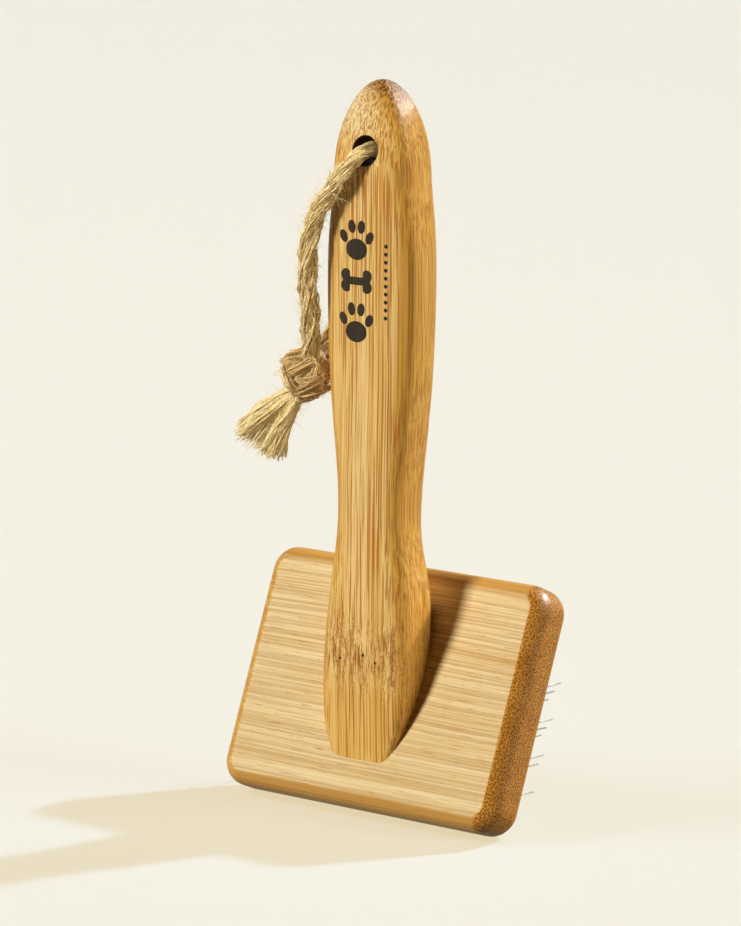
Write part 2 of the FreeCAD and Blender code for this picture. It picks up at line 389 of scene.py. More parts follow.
def handle_bamboo():
    shader = Shader("handle_bamboo")
    x, y, z = shader.split(shader.place(offset=(0, -FOOTPRINT_Y, 0)))
    place = shader.join(x, y, z)
    # The culm's node: fibres swerve and break up in a band across the handle's foot.
    from_node = (z - NODE_HEIGHT) * (1 / NODE_REACH)
    band = shader.math("POWER", math.e, from_node * from_node * -1)
    swerve = shader.noise(place, (0.75, 0.75, 0.22), 4.0, 0.7)
    swerve = (swerve - 0.5) * band
    drift = shader.noise(place, (0.03, 0.03, 0.012), 1.0)
    shifted = swerve * 9.0 + (drift * 3.0 + x)
    broad, streak, fine, distance = bamboo_grain(shader, shifted, y, z, 1.18)
    front = shader.step(shader.dot(shader.normal(), (0, -1, 0)), 0.86, 0.985)
    end = shader.step(shader.dot(shader.normal(), (0, 0, 1)), 0.25, 0.75)
    # Base tone: gold on the planed front, tan on the rounded sides, brown on the end grain.
    grain = streak * 0.55 + broad * 0.45
    front_tone = shader.ramp(
        grain,
        (0.30, (0.62, 0.31, 0.070)),
        (0.42, (0.74, 0.45, 0.125)),
        (0.52, (0.84, 0.58, 0.20)),
        (0.68, (0.91, 0.71, 0.33)),
    )
    side_tone = shader.ramp(
        grain,
        (0.32, (0.56, 0.265, 0.036)),
        (0.50, (0.73, 0.41, 0.074)),
        (0.66, (0.83, 0.53, 0.130)),
    )
    tone = shader.mix(front, side_tone, front_tone)
    outer_wall = shader.step(end * 4.5 + x, -3.5, 6.0)
    end_tone = shader.mix(outer_wall, (0.95, 0.77, 0.43), (0.44, 0.225, 0.055))
    tone = shader.mix(end * 0.8, tone, end_tone)
    crown = shader.step(z, 178.0, 188.0)
    crown = crown * (1.0 - outer_wall)
    tone = shader.mix(crown * 0.7, tone, (0.96, 0.80, 0.46))
    # The wood is more orange below the node.
    foot = shader.step(z, NODE_HEIGHT, NODE_HEIGHT - 2 * NODE_REACH)
    tone = shader.mix(foot * 0.50, tone, (0.74, 0.42, 0.075))
    line = shader.step(fine, 0.53, 0.36)
    tone = shader.mix(line * 0.50, tone, (0.50, 0.20, 0.030))
    stripe = shader.noise(shader.join(shifted, y, z), (2.0, 2.0, 0.012), 2.0, 0.6)
    stripe = shader.step(stripe, 0.45, 0.38)
    tone = shader.mix(stripe * 0.85, tone, (0.45, 0.155, 0.016))
    # Bundles are orange lines on the front and dark, close dashes in the dense outer wall.
    size = outer_wall * 0.09 + 0.15
    outer_end = end * outer_wall
    size = outer_end * 0.16 + size
    bundle = shader.step(distance - size, 0.09, -0.03)
    buried = outer_wall * 0.38 + 0.10
    depth = shader.blend(front, outer_end * 0.42 + buried, 0.80)
    side_bundle = shader.mix(outer_end, (0.30, 0.110, 0.016), (0.11, 0.036, 0.008))
    bundle_tone = shader.mix(front, side_bundle, (0.44, 0.155, 0.022))
    tone = shader.mix(bundle * depth, tone, bundle_tone)
    # Broken fibres in the node's band, and its small pits: each pit is bumped in, and painted near black as
    # painted shade inside it.
    frayed = shader.noise(place, (1.5, 1.5, 0.15), 4.0, 0.70)
    band_here = band * shader.blend(front, 0.30, 1.0)
    torn = shader.step(frayed, 0.49, 0.42) * band_here
    tone = shader.mix(torn, tone, (0.37, 0.115, 0.011))
    pale = shader.step(frayed, 0.53, 0.61) * band_here
    tone = shader.mix(pale * 0.50, tone, (0.93, 0.68, 0.25))
    # Painted shade: each pit is painted near black.
    pit_with_painted_shade = node_pits(shader, x, z) * front
    tone = shader.mix(pit_with_painted_shade, tone, (0.05, 0.02, 0.008))
    # Painted shade: the wall of the hanging hole is painted near black, for the shade deep inside the hole.
    from_axis = z - HOLE_HEIGHT / MM
    squares = from_axis * from_axis + x * x
    painted_hole_shade = shader.step(shader.math("SQRT", squares), 4.16, 4.02)
    tone = shader.mix(painted_hole_shade, tone, (0.035, 0.014, 0.006))
    relief = fine * 0.5 + streak * 0.6
    relief = relief - bundle * 0.35
    ripple = shader.noise(place, (2.2, 2.2, 2.2), 3.0, 0.7) * outer_end
    relief = ripple * 4.0 + relief
    relief = relief - torn * 0.5
    return shader.finish(
        tone, shader.step(streak, 0.3, 0.7, 0.36, 0.50), relief - pit_with_painted_shade, 0.60, 0.16,
        Coat_Weight=0.55, Coat_Roughness=0.16, Specular_IOR_Level=0.35,
    )


def head_bamboo():
    shader = Shader("head_bamboo")
    turned = shader.place(offset=(0, -FOOTPRINT_Y, HEAD_LIFT), turn=(-HEAD_LEAN, 0, 0))
    x, depth, height = shader.split(turned)
    drift = shader.noise(turned, (0.012, 0.03, 0.03), 1.0)
    shifted = drift * 3.0 + height
    broad, streak, fine, distance = bamboo_grain(shader, shifted, depth, x, 1.55)
    facing = shader.normal()
    back_normal = (0, -math.cos(HEAD_LEAN), math.sin(HEAD_LEAN))
    sanded = shader.step(shader.dot(facing, back_normal), 0.955, 0.995)
    # At -X the sanded wood rolls further over the edge before the end grain shows.
    right = shader.dot(facing, (1, 0, 0))
    end = shader.step(right, 0.03, 0.12)
    end = shader.math("MAXIMUM", end, shader.step(right * -1.0, 0.80, 0.93))
    # On the rolled edge the cut bundles stay round: their pattern follows the surface inwards.
    inward = HEAD_WIDTH / MM / 2 - abs(x)
    from_middle = depth - HEAD_THICK / MM / 2
    rolled = shader.math("SIGN", from_middle) * inward + from_middle
    end_distance = shader.cells(shader.join(shifted, rolled, 0.0), (1.50, 1.50, 0.0), "2D")
    distance = shader.blend(end, distance, end_distance)
    grain = streak * 0.6 + broad * 0.4
    back_tone = shader.ramp(
        grain,
        (0.30, (0.72, 0.48, 0.20)),
        (0.43, (0.84, 0.62, 0.30)),
        (0.55, (0.91, 0.71, 0.385)),
        (0.70, (0.95, 0.79, 0.49)),
    )
    rim_tone = shader.ramp(
        grain,
        (0.32, (0.54, 0.23, 0.035)),
        (0.50, (0.70, 0.38, 0.085)),
        (0.66, (0.80, 0.50, 0.15)),
    )
    tone = shader.mix(sanded, rim_tone, back_tone)
    # The short sides show end grain: tan with a dark dot for each bundle, fewer towards
    # the front edge, and a warm serrated border where the saw met the sanded back.
    end_tone = shader.ramp(broad, (0.3, (0.50, 0.205, 0.026)), (0.7, (0.64, 0.295, 0.046)))
    near_front = shader.step(depth, 9.0, 13.0)
    end_tone = shader.mix(near_front, end_tone, (0.56, 0.28, 0.058))
    tone = shader.mix(end, tone, end_tone)
    serrated = shader.noise(turned, (0.15, 0.8, 1.9), 3.0, 0.7)
    border = serrated * 0.30 + abs(right)
    by_back = shader.math("LESS_THAN", depth, HEAD_THICK / MM / 2)
    to_back = by_back * shader.step(border, 0.36, 0.27)
    to_back = to_back * end
    tone = shader.mix(to_back * 0.85, tone, (0.72, 0.31, 0.040))
    along_grain = 1.0 - end
    line = shader.step(fine, 0.54, 0.38) * along_grain
    tone = shader.mix(line * 0.42, tone, (0.56, 0.30, 0.085))
    stroke = shader.noise(turned, (0.12, 3.2, 3.2), 3.0, 0.6)
    stroke = shader.step(stroke, 0.40, 0.34) * along_grain
    tone = shader.mix(stroke * 0.75, tone, (0.54, 0.23, 0.055))
    size = shader.step(depth, 9.0, 13.2, 0.33, 0.14)
    bundle = shader.step(distance - size, 0.08, -0.04)
    dark = shader.blend(end, 0.34, 0.86)
    bundle_tone = shader.mix(end, (0.48, 0.25, 0.070), (0.165, 0.056, 0.010))
    tone = shader.mix(bundle * dark, tone, bundle_tone)
    rough = sanded * 0.22 + shader.step(streak, 0.3, 0.7, 0.40, 0.52)
    relief = fine * 0.6 + streak * 0.6
    return shader.finish(
        tone, rough, relief - bundle * 0.5, 0.55, 0.14,
        Coat_Weight=0.30, Coat_Roughness=0.22, Specular_IOR_Level=0.30,
    )


def jute():
    shader = Shader("jute")
    place = shader.place()
    tone = shader.attribute("tone")
    mottle = shader.noise(place, (1.3, 1.3, 1.3), 3.0, 0.65)
    fibre = shader.noise(place, (3.4, 3.4, 1.9), 3.0, 0.7)
    factor = tone * 0.55 + mottle * 0.45
    colour = shader.ramp(
        factor,
        (0.14, (0.33, 0.200, 0.078)),
        (0.30, (0.66, 0.450, 0.195)),
        (0.46, (0.95, 0.725, 0.350)),
        (0.66, (1.00, 0.89, 0.53)),
    )
    colour = shader.mix(shader.step(fibre, 0.50, 0.36, 0.0, 0.70), colour, (0.26, 0.145, 0.050))
    rough = shader.step(fibre, 0.3, 0.7, 0.72, 0.9)
    return shader.finish(
        colour, rough, fibre, 0.6, 0.08,
        Sheen_Weight=0.70, Sheen_Roughness=0.45, Specular_IOR_Level=0.25,
    )


def mark_ink():
    shader = Shader("mark_ink")
    place = shader.place()
    grain = shader.noise(place, (3.2, 3.2, 0.05), 3.0, 0.65)
    speck = shader.noise(place, (3.5, 3.5, 3.5), 2.0)
    tone = shader.ramp(
        grain,
        (0.35, (0.060, 0.045, 0.032)),
        (0.60, (0.035, 0.030, 0.025)),
        (0.75, (0.085, 0.062, 0.042)),
    )
    tone = shader.mix(shader.step(speck, 0.60, 0.72, 0.0, 0.35), tone, (0.12, 0.085, 0.05))
    rough = shader.step(grain, 0.3, 0.7, 0.45, 0.62)
    return shader.finish(
        tone, rough, grain, 0.3, 0.03,
        Coat_Weight=0.05, Coat_Roughness=0.4, Specular_IOR_Level=0.3,
    )


def steel(name, dull):
    shader = Shader(name)
    place = shader.place()
    drawn = shader.noise(place, (2.0, 9.0, 9.0), 3.0, 0.6)
    dark = (0.46 - dull, 0.45 - dull, 0.44 - dull)
    bright = (0.70 - dull, 0.69 - dull, 0.68 - dull)
    tone = shader.ramp(drawn, (0.3, dark), (0.7, bright))
    rough = shader.step(drawn, 0.3, 0.7, 0.22, 0.40)
    return shader.finish(tone, rough, drawn, 0.2, 0.01, Metallic=0.60)


def foam():
    shader = Shader("cushion_foam")
    place = shader.place()
    pore = shader.cells(place, (3.4, 3.4, 3.4))
    mottle = shader.noise(place, (0.5, 0.5, 0.5), 2.0)
    tone = shader.ramp(mottle, (0.35, (0.024, 0.024, 0.027)), (0.65, (0.045, 0.044, 0.048)))
    tone = shader.mix(shader.step(pore, 0.30, 0.12), tone, (0.008, 0.008, 0.009))
    rough = shader.step(pore, 0.1, 0.6, 0.95, 0.7)
    return shader.finish(tone, rough, pore, 0.7, 0.12, Specular_IOR_Level=0.3)


def woven_cloth():
    """Plain weave in the board's plane."""
    shader = Shader("woven_cloth")
    turned = shader.place(offset=(0, -FOOTPRINT_Y, HEAD_LIFT), turn=(-HEAD_LEAN, 0, 0))
    x, depth, height = shader.split(turned)
    threads_per_mm = 1.7
    warp = shader.math("SINE", x * (math.pi * threads_per_mm))
    weft = shader.math("SINE", height * (math.pi * threads_per_mm))
    plies = shader.math("SINE", depth * (FULL_TURN * 3.0))
    weave = plies * 0.35 + warp * weft
    uneven = shader.noise(turned, (0.9, 2.0, 0.9), 3.0, 0.6)
    tone = shader.ramp(
        weave * 0.22 + uneven,
        (0.25, (0.20, 0.15, 0.09)), (0.50, (0.36, 0.29, 0.19)), (0.75, (0.50, 0.42, 0.29)),
    )
    rough = shader.step(uneven, 0.3, 0.7, 0.80, 0.95)
    return shader.finish(tone, rough, weave, 0.6, 0.10, Sheen_Weight=0.2, Specular_IOR_Level=0.25)


def facing_rubber():
    shader = Shader("facing_rubber")
    place = shader.place()
    mottle = shader.noise(place, (0.35, 0.35, 0.35), 3.0)
    grit = shader.noise(place, (5.0, 5.0, 5.0), 3.0, 0.7)
    tone = shader.ramp(mottle, (0.35, (0.014, 0.014, 0.016)), (0.65, (0.028, 0.027, 0.029)))
    tone = shader.mix(shader.step(grit, 0.62, 0.74, 0.0, 0.3), tone, (0.09, 0.085, 0.08))
    rough = shader.step(mottle, 0.3, 0.7, 0.50, 0.66)
    return shader.finish(tone, rough, grit, 0.4, 0.05, Specular_IOR_Level=0.4)


# ---------------------------------------------------------------- head board and pad

def ring_faces(start, rings, count):
    """Faces between rings of points that follow each other."""
    faces = []
    for low in range(start, start + (rings - 1) * count, count):
        for step in range(count):
            after = (step + 1) % count
            faces.append((low + step, low + after, low + count + after, low + count + step))
    return faces


def rounded_outline(half_width, half_height, corner_r, corner_steps, side_steps):
    """Points (x, height) round a rounded rectangle about the origin, evenly spread."""
    corner_r = max(corner_r, 0.3 * MM)
    points = []
    for quarter in range(4):
        angle = quarter * math.pi / 2
        sign_x = 1 if quarter in (0, 3) else -1
        sign_y = 1 if quarter in (0, 1) else -1
        middle = Vector((sign_x * (half_width - corner_r), sign_y * (half_height - corner_r)))
        for step in range(corner_steps + 1):
            turn = angle + step / corner_steps * math.pi / 2
            points.append(middle + corner_r * Vector((math.cos(turn), math.sin(turn))))
        next_x = -sign_x if quarter in (0, 2) else sign_x
        next_y = -sign_y if quarter in (1, 3) else sign_y
        following = Vector((next_x * (half_width - corner_r), next_y * (half_height - corner_r)))
        run = following - middle
        for step in range(1, side_steps):
            points.append(points[-step] + run * (step / side_steps))
    return points


def plate(name, width, height, corner_r, profile, relief=None, corner_steps=12, side_steps=40):
    """A rounded plate from rings of (inset, depth), with a flat or relieved face at each end."""
    points = []
    for inset, depth in profile:
        ring = rounded_outline(
            width / 2 - inset, height / 2 - inset, corner_r - inset, corner_steps, side_steps
        )
        for x, up in ring:
            place = Vector((x, depth, up + HEAD_HEIGHT / 2))
            if relief:
                place.y += relief(place, inset)
            points.append(stand(lean(place)))
    count = len(points) // len(profile)
    faces = [tuple(range(count)), tuple(reversed(range(len(points) - count, len(points))))]
    faces += [(a, d, c, b) for a, b, c, d in ring_faces(0, len(profile), count)]
    return mesh_object(name, points, faces)


def edge_arc(radius, depth, outward, steps=8):
    """(inset, depth) pairs of a quarter-round edge that starts or ends at a face."""
    pairs = []
    for step in range(steps + 1):
        angle = step / steps * math.pi / 2
        rise = radius * (1 - math.cos(angle))
        pairs.append((radius * (1 - math.sin(angle)), depth + outward * rise))
    return pairs


def make_board(material):
    flat = 0.3 * MM     # a level ring round each face, so that its shading stays flat
    back = [(BACK_EDGE_R + flat, 0.0)] + edge_arc(BACK_EDGE_R, 0.0, 1)
    front = [(FRONT_EDGE_R + flat, HEAD_THICK)] + edge_arc(FRONT_EDGE_R, HEAD_THICK, -1)
    board = plate(
        "bamboo_head_board", HEAD_WIDTH, HEAD_HEIGHT, HEAD_CORNER_R, back + front[::-1]
    )
    shade_smooth(board.data)
    return finish_piece(board, material, "brush", "head_bamboo", "head_board")


def pad_size():
    return HEAD_WIDTH - 2 * PAD_MARGIN, HEAD_HEIGHT - 2 * PAD_MARGIN


def make_cushion(material):
    """The foam bulges a little between the board and the cloth that is stretched over it."""
    width, height = pad_size()
    profile = []
    steps = 8
    for step in range(steps + 1):
        share = step / steps
        bulge = 0.45 * MM * math.sin(math.pi * share)
        profile.append((0.4 * MM - bulge, HEAD_THICK + share * CUSHION_THICK))
    ripple = random.Random(5)
    waves = [(ripple.uniform(150, 420), ripple.uniform(0, FULL_TURN)) for _ in range(5)]

    def relief(place, inset):
        swell = sum(math.sin(place.x * pitch + place.z * pitch * 1.3 + start) for pitch, start in waves)
        middle = HEAD_THICK + CUSHION_THICK / 2
        return 0.03 * MM * swell * (1 - abs(place.y - middle) / CUSHION_THICK)

    cushion = plate("foam_cushion", width, height, PAD_CORNER_R, profile, relief)
    shade_smooth(cushion.data, math.radians(50))
    finish_piece(cushion, material, "brush", "cushion_foam", "pad_cushion")
    return cushion


def make_cloth(material):
    width, height = pad_size()
    start = HEAD_THICK + CUSHION_THICK
    profile = [
        (0.25 * MM, start), (0.05 * MM, start + 0.2 * MM), (0.10 * MM, start + 0.45 * MM),
        (0.02 * MM, start + 0.65 * MM), (0.15 * MM, start + 0.9 * MM), (0.4 * MM, start + CLOTH_THICK),
    ]
    frayed = random.Random(11)
    fray = [frayed.uniform(-0.06, 0.06) * MM for _ in range(997)]

    def relief(place, inset):
        return fray[int(abs(place.x * 9000) + abs(place.z * 7000)) % len(fray)]

    cloth = plate("pin_backing_cloth", width, height, PAD_CORNER_R, profile, relief)
    shade_smooth(cloth.data, math.radians(60))
    finish_piece(cloth, material, "brush", "woven_cloth", "pin_cloth")
    return cloth


def row_half_length(height):
    """How far from the middle a pin may stand in a row at this height up the board."""
    width, tall = pad_size()
    corner = PAD_CORNER_R - PIN_EDGE_MARGIN
    half_width = width / 2 - PIN_EDGE_MARGIN
    into_corner = abs(height - HEAD_HEIGHT / 2) - (tall / 2 - PAD_CORNER_R)
    if into_corner <= 0:
        return half_width
    return half_width - corner + math.sqrt(max(corner**2 - into_corner**2, 0))


def pin_places(index):
    """The x of each pin in a row, and the row's height up the board."""
    height = HEAD_HEIGHT / 2 + (index - (PIN_ROWS - 1) / 2) * ROW_PITCH
    stagger = (index % STAGGER_ROWS - (STAGGER_ROWS - 1) / 2) * PIN_PITCH / STAGGER_ROWS
    places = []
    for number in range(STAPLES_PER_ROW):
        x = (number - (STAPLES_PER_ROW - 1) / 2) * 2 * PIN_PITCH + stagger + PINS_SHIFT
        if abs(x) + PIN_PITCH / 2 <= row_half_length(height):
            places += [x - PIN_PITCH / 2, x + PIN_PITCH / 2]
    if index + 1 in SHORT_ROWS:
        places = places[:-2]
    return places, height


def make_facing(material):
    """The rubber face is a little crowned, and each pin has drawn it in around itself."""
    width, height = pad_size()
    width -= 2 * FACING_INSET
    height -= 2 * FACING_INSET
    start = HEAD_THICK + CUSHION_THICK + CLOTH_THICK
    face = start + FACING_THICK
    pins = [(x, up) for index in range(PIN_ROWS) for places, up in [pin_places(index)] for x in places]
    spots = np.array(pins)
    profile = [(0.2 * MM, start), (0.0, start + 0.2 * MM), (0.0, face - 0.35 * MM)]
    profile += [(0.1 * MM, face - 0.14 * MM), (0.35 * MM, face)]
    ring_step = 0.55 * MM
    inset = 0.35 * MM + ring_step
    while inset < height / 2 - 0.3 * MM:
        profile.append((inset, face))
        inset += ring_step
    crown = 0.35 * MM
    pucker = 0.30 * MM
    pucker_reach = 0.55 * MM

    def relief(place, inset):
        if place.y < face - 1e-9 or inset <= 0.35 * MM:
            return 0.0
        rise = crown * (1 - math.exp(-inset / (6 * MM)))
        gaps = np.hypot(spots[:, 0] - place.x, spots[:, 1] - place.z)
        return rise - pucker * math.exp(-(float(gaps.min()) / pucker_reach) ** 2)

    facing = plate(
        "rubber_facing", width, height, PAD_CORNER_R - FACING_INSET, profile, relief, 14, 120
    )
    shade_smooth(facing.data, math.radians(60))
    return finish_piece(facing, material, "brush", "facing_rubber", "pad_facing")


# ---------------------------------------------------------------- round wires, yarns and hairs

def tubes(name, lines, sides=5):
    """One mesh of closed tubes. Each line is (centres n x 3, radii n, tone)."""
    points, faces, tones = [], [], []
    start = 0
    turns = np.arange(sides) * FULL_TURN / sides
    for centres, radii, tone in lines:
        centres = np.asarray(centres, float)
        along = directions_along(centres)
        helper = np.array([0.0, 0.0, 1.0]) if abs(along[0][2]) < 0.9 else np.array([1.0, 0.0, 0.0])
        side = helper - along[0] * (helper @ along[0])
        rings = []
        for centre, direction, radius in zip(centres, along, radii):
            side = side - direction * (side @ direction)
            side /= np.linalg.norm(side)
            other = np.cross(direction, side)
            spokes = np.outer(np.cos(turns), side) + np.outer(np.sin(turns), other)
            rings.append(centre + radius * spokes)
        points.append(np.concatenate(rings))
        count = len(centres)
        faces += ring_faces(start, count, sides)
        faces.append(tuple(start + step for step in reversed(range(sides))))
        faces.append(tuple(start + (count - 1) * sides + step for step in range(sides)))
        start += count * sides
        tones.append(np.full(count * sides, tone))
    piece = mesh_object(name, np.concatenate(points).tolist(), faces)
    attribute = piece.data.attributes.new("tone", "FLOAT", "POINT")
    attribute.data.foreach_set("value", np.concatenate(tones).astype(np.float32))
    shade_smooth(piece.data, math.radians(70))
    return piece


def make_pin_row(index, material):
    """Bent wire pins, each a little out of line, with a tip cut and ground round."""
    chance = random.Random(100 + index)
    places, height = pin_places(index)
    crown = HEAD_THICK + CUSHION_THICK
    rise = (PIN_TIP_DEPTH - KNEE_DEPTH) * math.tan(KNEE_TURN)
    lines = []
    for x in places:
        sway_x = chance.gauss(0, 0.10) * MM
        sway_up = chance.gauss(0, 0.07) * MM
        tip_x = chance.gauss(0, 0.22) * MM
        tip_up = rise + max(chance.gauss(0, 0.12), -0.15) * MM
        reach = PIN_TIP_DEPTH - abs(chance.gauss(0, 0.06)) * MM
        knee = np.array([x + sway_x, KNEE_DEPTH, height + sway_up])
        tip = np.array([x + sway_x + tip_x, reach, height + sway_up + tip_up])
        root = np.array([x, crown, height])
        bend = 0.5 * MM
        into = (knee - root) / np.linalg.norm(knee - root)
        out = (tip - knee) / np.linalg.norm(tip - knee)
        route = [root, root * 0.5 + knee * 0.5, knee - into * bend]
        route += [
            knee - into * bend * 0.35 + out * bend * 0.10,
            knee + out * bend * 0.35 - into * bend * 0.10,
        ]
        route += [knee + out * bend, tip - out * 0.25 * MM, tip - out * 0.06 * MM, tip]
        radii = [WIRE_R] * 7 + [WIRE_R * 0.80, WIRE_R * 0.35]
        lines.append(([stand(lean(p)) for p in route], radii, 0.5))
    row = tubes(f"wire_pins_{index + 1:02d}", lines, 8)
    return finish_piece(row, material, "brush", "pin_steel", f"pin_row_{index + 1:02d}")


# ---------------------------------------------------------------- handle

def smooth_between(values, heights, at):
    """Natural cubic through the stations' values."""
    count = len(heights)
    gap = np.diff(heights)
    matrix = np.eye(count)
    right = np.zeros(count)
    for i in range(1, count - 1):
        matrix[i, i - 1: i + 2] = gap[i - 1], 2 * (gap[i - 1] + gap[i]), gap[i]
        right[i] = 3 * ((values[i + 1] - values[i]) / gap[i] - (values[i] - values[i - 1]) / gap[i - 1])
    curve = np.linalg.solve(matrix, right)
    i = min(max(int(np.searchsorted(heights, at)) - 1, 0), count - 2)
    slope = (values[i + 1] - values[i]) / gap[i] - gap[i] * (2 * curve[i] + curve[i + 1]) / 3
    step = at - heights[i]
    cubic = (curve[i + 1] - curve[i]) / (3 * gap[i])
    return values[i] + slope * step + curve[i] * step**2 + cubic * step**3


def handle_stations():
    """The grip's stations in metres, with the dome's first two sections to end on."""
    rows = [
        (height * MM, middle * MM, half * MM, thick * MM, front_n, rear_n)
        for height, middle, half, thick, front_n, rear_n in GRIP_STATIONS
    ]
    for share in (0.0, 0.242):
        narrowing = math.sqrt(1 - share**2)
        rows.append((
            DOME_START + DOME_HEIGHT * share, 0.0, DOME_HALF_WIDTH * narrowing,
            GRIP_THICK * narrowing, DOME_EXPONENT, DOME_EXPONENT,
        ))
    return np.array(rows)


STATIONS = handle_stations()


def handle_section(height):
    """(middle x, middle y, half width, half thickness, front n, rear n) at a height."""
    if height > DOME_START:
        share = min((height - DOME_START) / DOME_HEIGHT, math.sin(DOME_TOP_ANGLE))
        narrowing = math.sqrt(1 - share**2)
        middle_y = GRIP_FRONT_Y + GRIP_FRONT_SLOPE * height + GRIP_THICK / 2
        half_thick = GRIP_THICK / 2 * narrowing
        rounding = max(0.0, (share - DOME_ROUNDS_FROM) / (1 - DOME_ROUNDS_FROM))
        rounding = rounding * rounding * (3 - 2 * rounding)
        exponent = DOME_EXPONENT + (DOME_TOP_EXPONENT - DOME_EXPONENT) * rounding
        return 0.0, middle_y, DOME_HALF_WIDTH * narrowing, half_thick, exponent, exponent
    middle, half_width, thick, front_n, rear_n = (
        smooth_between(STATIONS[:, column], STATIONS[:, 0], height) for column in range(1, 6)
    )
    middle_y = GRIP_FRONT_Y + GRIP_FRONT_SLOPE * height + thick / 2
    return middle, middle_y, half_width, thick / 2, front_n, rear_n


def front_surface(x, height):
    """The y of the handle's front at x and a height, in design coordinates."""
    middle, middle_y, half_width, half_thick, front_n, _ = handle_section(height)
    across = min(abs((x - middle) / half_width), 0.999)
    return middle_y - half_thick * (1 - across**front_n) ** (1 / front_n)


def make_handle(material):
    count = 144
    step = 1.2 * MM
    heights = list(np.arange(GRIP_STATIONS[0][0] * MM, DOME_START, step))
    dome_steps = 26
    heights += [
        DOME_START + DOME_HEIGHT * math.sin(DOME_TOP_ANGLE * i / dome_steps)
        for i in range(dome_steps + 1)
    ]
    points = []
    for height in heights:
        middle, middle_y, half_width, half_thick, front_n, rear_n = handle_section(height)
        for number in range(count):
            angle = FULL_TURN * number / count
            exponent = rear_n if math.sin(angle) > 0 else front_n
            across = abs(math.cos(angle) / half_width) ** exponent
            through = abs(math.sin(angle) / half_thick) ** exponent
            radius = (across + through) ** (-1 / exponent)
            place = (middle + radius * math.cos(angle), middle_y + radius * math.sin(angle), height)
            points.append(stand(place))
    faces = [tuple(reversed(range(count))), tuple(range(len(points) - count, len(points)))]
    faces += ring_faces(0, len(heights), count)
    handle = mesh_object("bamboo_handle", points, faces)
    cut_foot(handle.data)
    drill_hole(handle)
    shade_smooth(handle.data, math.radians(35))
    HANDLE_ONLY.objects.link(handle)
    return finish_piece(handle, material, "brush", "handle_bamboo", "handle")


def cut_foot(mesh):
    """Plane the foot off along the board's back."""
    work = bmesh.new()
    work.from_mesh(mesh)
    geometry = work.verts[:] + work.edges[:] + work.faces[:]
    into_board = Vector((0, math.cos(HEAD_LEAN), -math.sin(HEAD_LEAN)))
    cut = bmesh.ops.bisect_plane(
        work, geom=geometry, plane_co=stand(lean((0, 0, 0))), plane_no=into_board, clear_outer=True
    )
    rim = [e for e in cut["geom_cut"] if isinstance(e, bmesh.types.BMEdge)]
    bmesh.ops.contextual_create(work, geom=rim)
    bmesh.ops.recalc_face_normals(work, faces=work.faces[:])
    work.to_mesh(mesh)
    work.free()


def drill_hole(handle):
    work = bmesh.new()
    upright = Matrix.Rotation(math.pi / 2, 4, "X")
    middle = Matrix.Translation(stand(HOLE_MIDDLE))
    bmesh.ops.create_cone(
        work, segments=64, radius1=HOLE_R, radius2=HOLE_R, depth=4 * GRIP_THICK,
        cap_ends=True, matrix=middle @ upright,
    )
    mesh = bpy.data.meshes.new("drill")
    work.to_mesh(mesh)
    work.free()
    drill = make_object("drill", mesh)
    cut = handle.modifiers.new("hole", "BOOLEAN")
    cut.operation = "DIFFERENCE"
    cut.solver = "EXACT"
    cut.object = drill
    graph = bpy.context.evaluated_depsgraph_get()
    drilled = bpy.data.meshes.new_from_object(handle.evaluated_get(graph))
    handle.modifiers.clear()
    handle.data = drilled
    bpy.data.objects.remove(drill)


# ---------------------------------------------------------------- printed mark

def ellipse(middle_x, middle_z, half_x, half_z, turn=0.0, steps=40):
    points = []
    for step in range(steps):
        angle = FULL_TURN * step / steps
        x, z = half_x * math.cos(angle), half_z * math.sin(angle)
        points.append((
            middle_x + x * math.cos(turn) - z * math.sin(turn),
            middle_z + x * math.sin(turn) + z * math.cos(turn),
        ))
    return points


def paw_print(middle_x, middle_z, size):
    """Outlines of one pad and four toes, in a square of this size."""
    outlines = [ellipse(middle_x, middle_z - 0.20 * size, 0.30 * size, 0.25 * size)]
    toes = ((-0.37, 0.09, 0.45), (-0.135, 0.33, 0.12), (0.135, 0.33, -0.12), (0.37, 0.09, -0.45))
    for side, up, turn in toes:
        outlines.append(
            ellipse(middle_x + side * size, middle_z + up * size, 0.105 * size, 0.155 * size, turn)
        )
    return outlines


def bone(middle_x, middle_z, size):
    """One closed outline of a toy bone that lies across, with two knobs at each end."""
    knob = 0.165 * size
    reach = 0.33 * size
    waist = 0.105 * size
    points = []
    corners = ((1, -1), (1, 1), (-1, 1), (-1, -1))
    starts = (-135, -45, 45, 135)
    for (side, up), start in zip(corners, starts):
        for step in range(17):
            sweep = start + step * 180 / 16
            angle = math.radians(sweep)
            points.append((
                middle_x + side * reach + knob * math.cos(angle),
                middle_z + up * (knob * 0.88) + knob * math.sin(angle),
            ))
        if up * side > 0:
            for share in (0.62, 0.0, -0.62):
                points.append((middle_x + side * share * reach, middle_z + up * waist))
    return points


